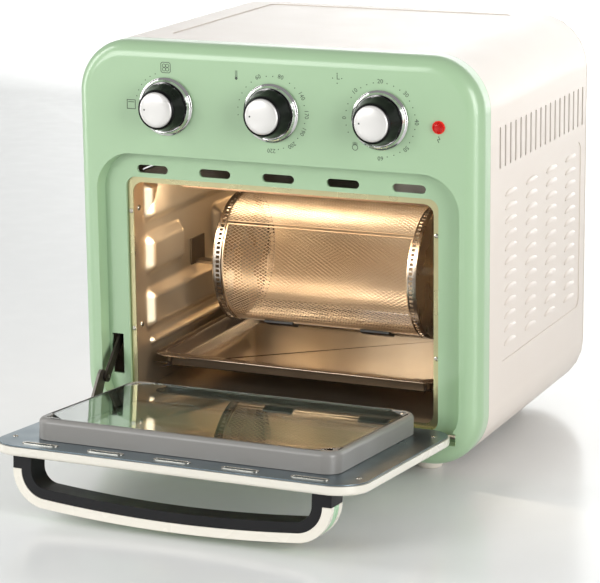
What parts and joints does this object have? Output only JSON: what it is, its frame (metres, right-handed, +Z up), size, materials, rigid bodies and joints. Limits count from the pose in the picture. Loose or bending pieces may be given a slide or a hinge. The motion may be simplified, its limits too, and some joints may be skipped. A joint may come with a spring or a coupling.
{
  "type": "rotisserie oven",
  "caption": "Countertop rotisserie oven with a drop-down glazed door, turning mesh basket, drip tray, round-cornered moulded front and three dials.",
  "frame": {"origin": "centre of the overall box on the table, door open as in the rest pose; the feet stand at z = 0", "axes": "+X to the right as seen from the front, +Y towards the back panel, +Z up; the door faces -Y"},
  "size_m": [0.325, 0.4445, 0.318],
  "materials": {
    "mint_front": "glossy mint green",
    "cream_casing": "glossy cream enamel",
    "base_steel": "plain grey",
    "foot_plastic": "cream",
    "black_plastic": "black",
    "cavity_steel": "warm, lightly tinted by heat",
    "mouth_steel": "satin",
    "heater_sheath": "dark oxidised",
    "zinc_steel": "zinc plated",
    "motor_black": "dark",
    "spit_steel": "dark",
    "lamp_red": "clear red",
    "basket_ends": "polished",
    "basket_wire": "bright wire",
    "clip_black": "black",
    "tray_enamel": "black enamel on steel",
    "door_cream": "cream enamel",
    "door_steel": "blue-grey satin",
    "frame_grey": "warm grey satin",
    "door_glass": "faint green tempered glass",
    "handle_black": "satin black",
    "handle_cream": "cream",
    "handle_mint": "green",
    "hinge_steel": "plated",
    "stay_dark": "dark",
    "knob_black": "black",
    "knob_cap": "pearl",
    "knob_chrome": "polished"
  },
  "bodies": {
    "root": {"fascia": "mint_front", "casing": "cream_casing", "base_plate": "base_steel", "back_panel": "cream_casing", "cord_inlet": "black_plastic", "foot_front_left": "foot_plastic", "foot_front_right": "foot_plastic", "foot_rear_left": "foot_plastic", "foot_rear_right": "foot_plastic", "cavity_wall_left": "cavity_steel", "cavity_wall_right": "cavity_steel", "cavity_roof": "cavity_steel", "cavity_floor": "cavity_steel", "cavity_back": "cavity_steel", "mouth_frame": "mouth_steel", "heater_front": "heater_sheath", "heater_rear": "heater_sheath", "fan_housing": "zinc_steel", "fan_motor": "motor_black", "spit_motor": "motor_black", "spit_support": "spit_steel", "control_bracket": "zinc_steel", "selector_switch": "black_plastic", "thermostat": "zinc_steel", "timer_unit": "black_plastic", "pilot_lamp": "lamp_red"},
    "fan": {"fan_impeller": "zinc_steel", "fan_shaft": "zinc_steel"},
    "basket": {"basket_end_left": "basket_ends", "basket_end_right": "basket_ends", "basket_mesh": "basket_wire", "drive_socket": "zinc_steel"},
    "lid": {"basket_lid": "basket_wire", "lid_clip_left": "clip_black", "lid_clip_right": "clip_black"},
    "tray": {"drip_tray": "tray_enamel"},
    "door": {"door_rim": "door_cream", "door_plate": "door_steel", "door_inner_frame": "frame_grey", "door_outer_glass": "door_glass", "door_inner_glass": "door_glass", "handle_grip": "handle_black", "handle_cover": "handle_cream", "handle_inlay": "handle_mint", "hinge_pin_left": "hinge_steel", "hinge_pin_right": "hinge_steel", "stay_bracket": "hinge_steel"},
    "stay": {"stay_arm": "stay_dark"},
    "function_dial": {"function_knob": "knob_black", "function_knob_cap": "knob_cap", "function_knob_skirt": "knob_chrome", "function_shaft": "zinc_steel"},
    "temperature_dial": {"temperature_knob": "knob_black", "temperature_knob_cap": "knob_cap", "temperature_knob_skirt": "knob_chrome", "temperature_shaft": "zinc_steel"},
    "timer_dial": {"timer_knob": "knob_black", "timer_knob_cap": "knob_cap", "timer_knob_skirt": "knob_chrome", "timer_shaft": "zinc_steel"}
  },
  "joints": [
    {"name": "door_hinge", "type": "hinge", "parent": "root", "child": "door", "pos_m": [0, -0.0298, 0.0365], "axis": [1, 0, 0], "range_deg": [-85.5, 0]},
    {"name": "stay_arm_pivot", "type": "hinge", "parent": "door", "child": "stay", "pos_m": [-0.14, -0.04432, 0.05851], "axis": [1, 0, 0], "range_deg": [0, 126]},
    {"name": "tray_slide", "type": "slide", "parent": "root", "child": "tray", "axis": [0, -0.9981, 0.061], "range_m": [0, 0.215]},
    {"name": "basket_spin", "type": "hinge", "parent": "root", "child": "basket", "pos_m": [0, 0.0882, 0.131], "axis": [1, 0, 0], "continuous": true},
    {"name": "basket_lid_hinge", "type": "hinge", "parent": "basket", "child": "lid", "pos_m": [0, 0.05025, 0.1664], "axis": [-1, 0, 0], "range_deg": [0, 58]},
    {"name": "fan_spin", "type": "hinge", "parent": "root", "child": "fan", "pos_m": [0, 0.0882, 0.22], "axis": [0, 0, 1], "continuous": true},
    {"name": "function_turn", "type": "hinge", "parent": "root", "child": "function_dial", "pos_m": [-0.086, -0.0358, 0.2705], "axis": [0, 1, 0], "range_deg": [0, 90]},
    {"name": "temperature_turn", "type": "hinge", "parent": "root", "child": "temperature_dial", "pos_m": [0, -0.0358, 0.2705], "axis": [0, 1, 0], "range_deg": [0, 270]},
    {"name": "timer_turn", "type": "hinge", "parent": "root", "child": "timer_dial", "pos_m": [0.086, -0.0358, 0.2705], "axis": [0, 1, 0], "range_deg": [-45, 270]}
  ],
  "couplings": [
    {"joint": "stay_arm_pivot", "follows": "door_hinge", "ratio": -1.4685}
  ]
}
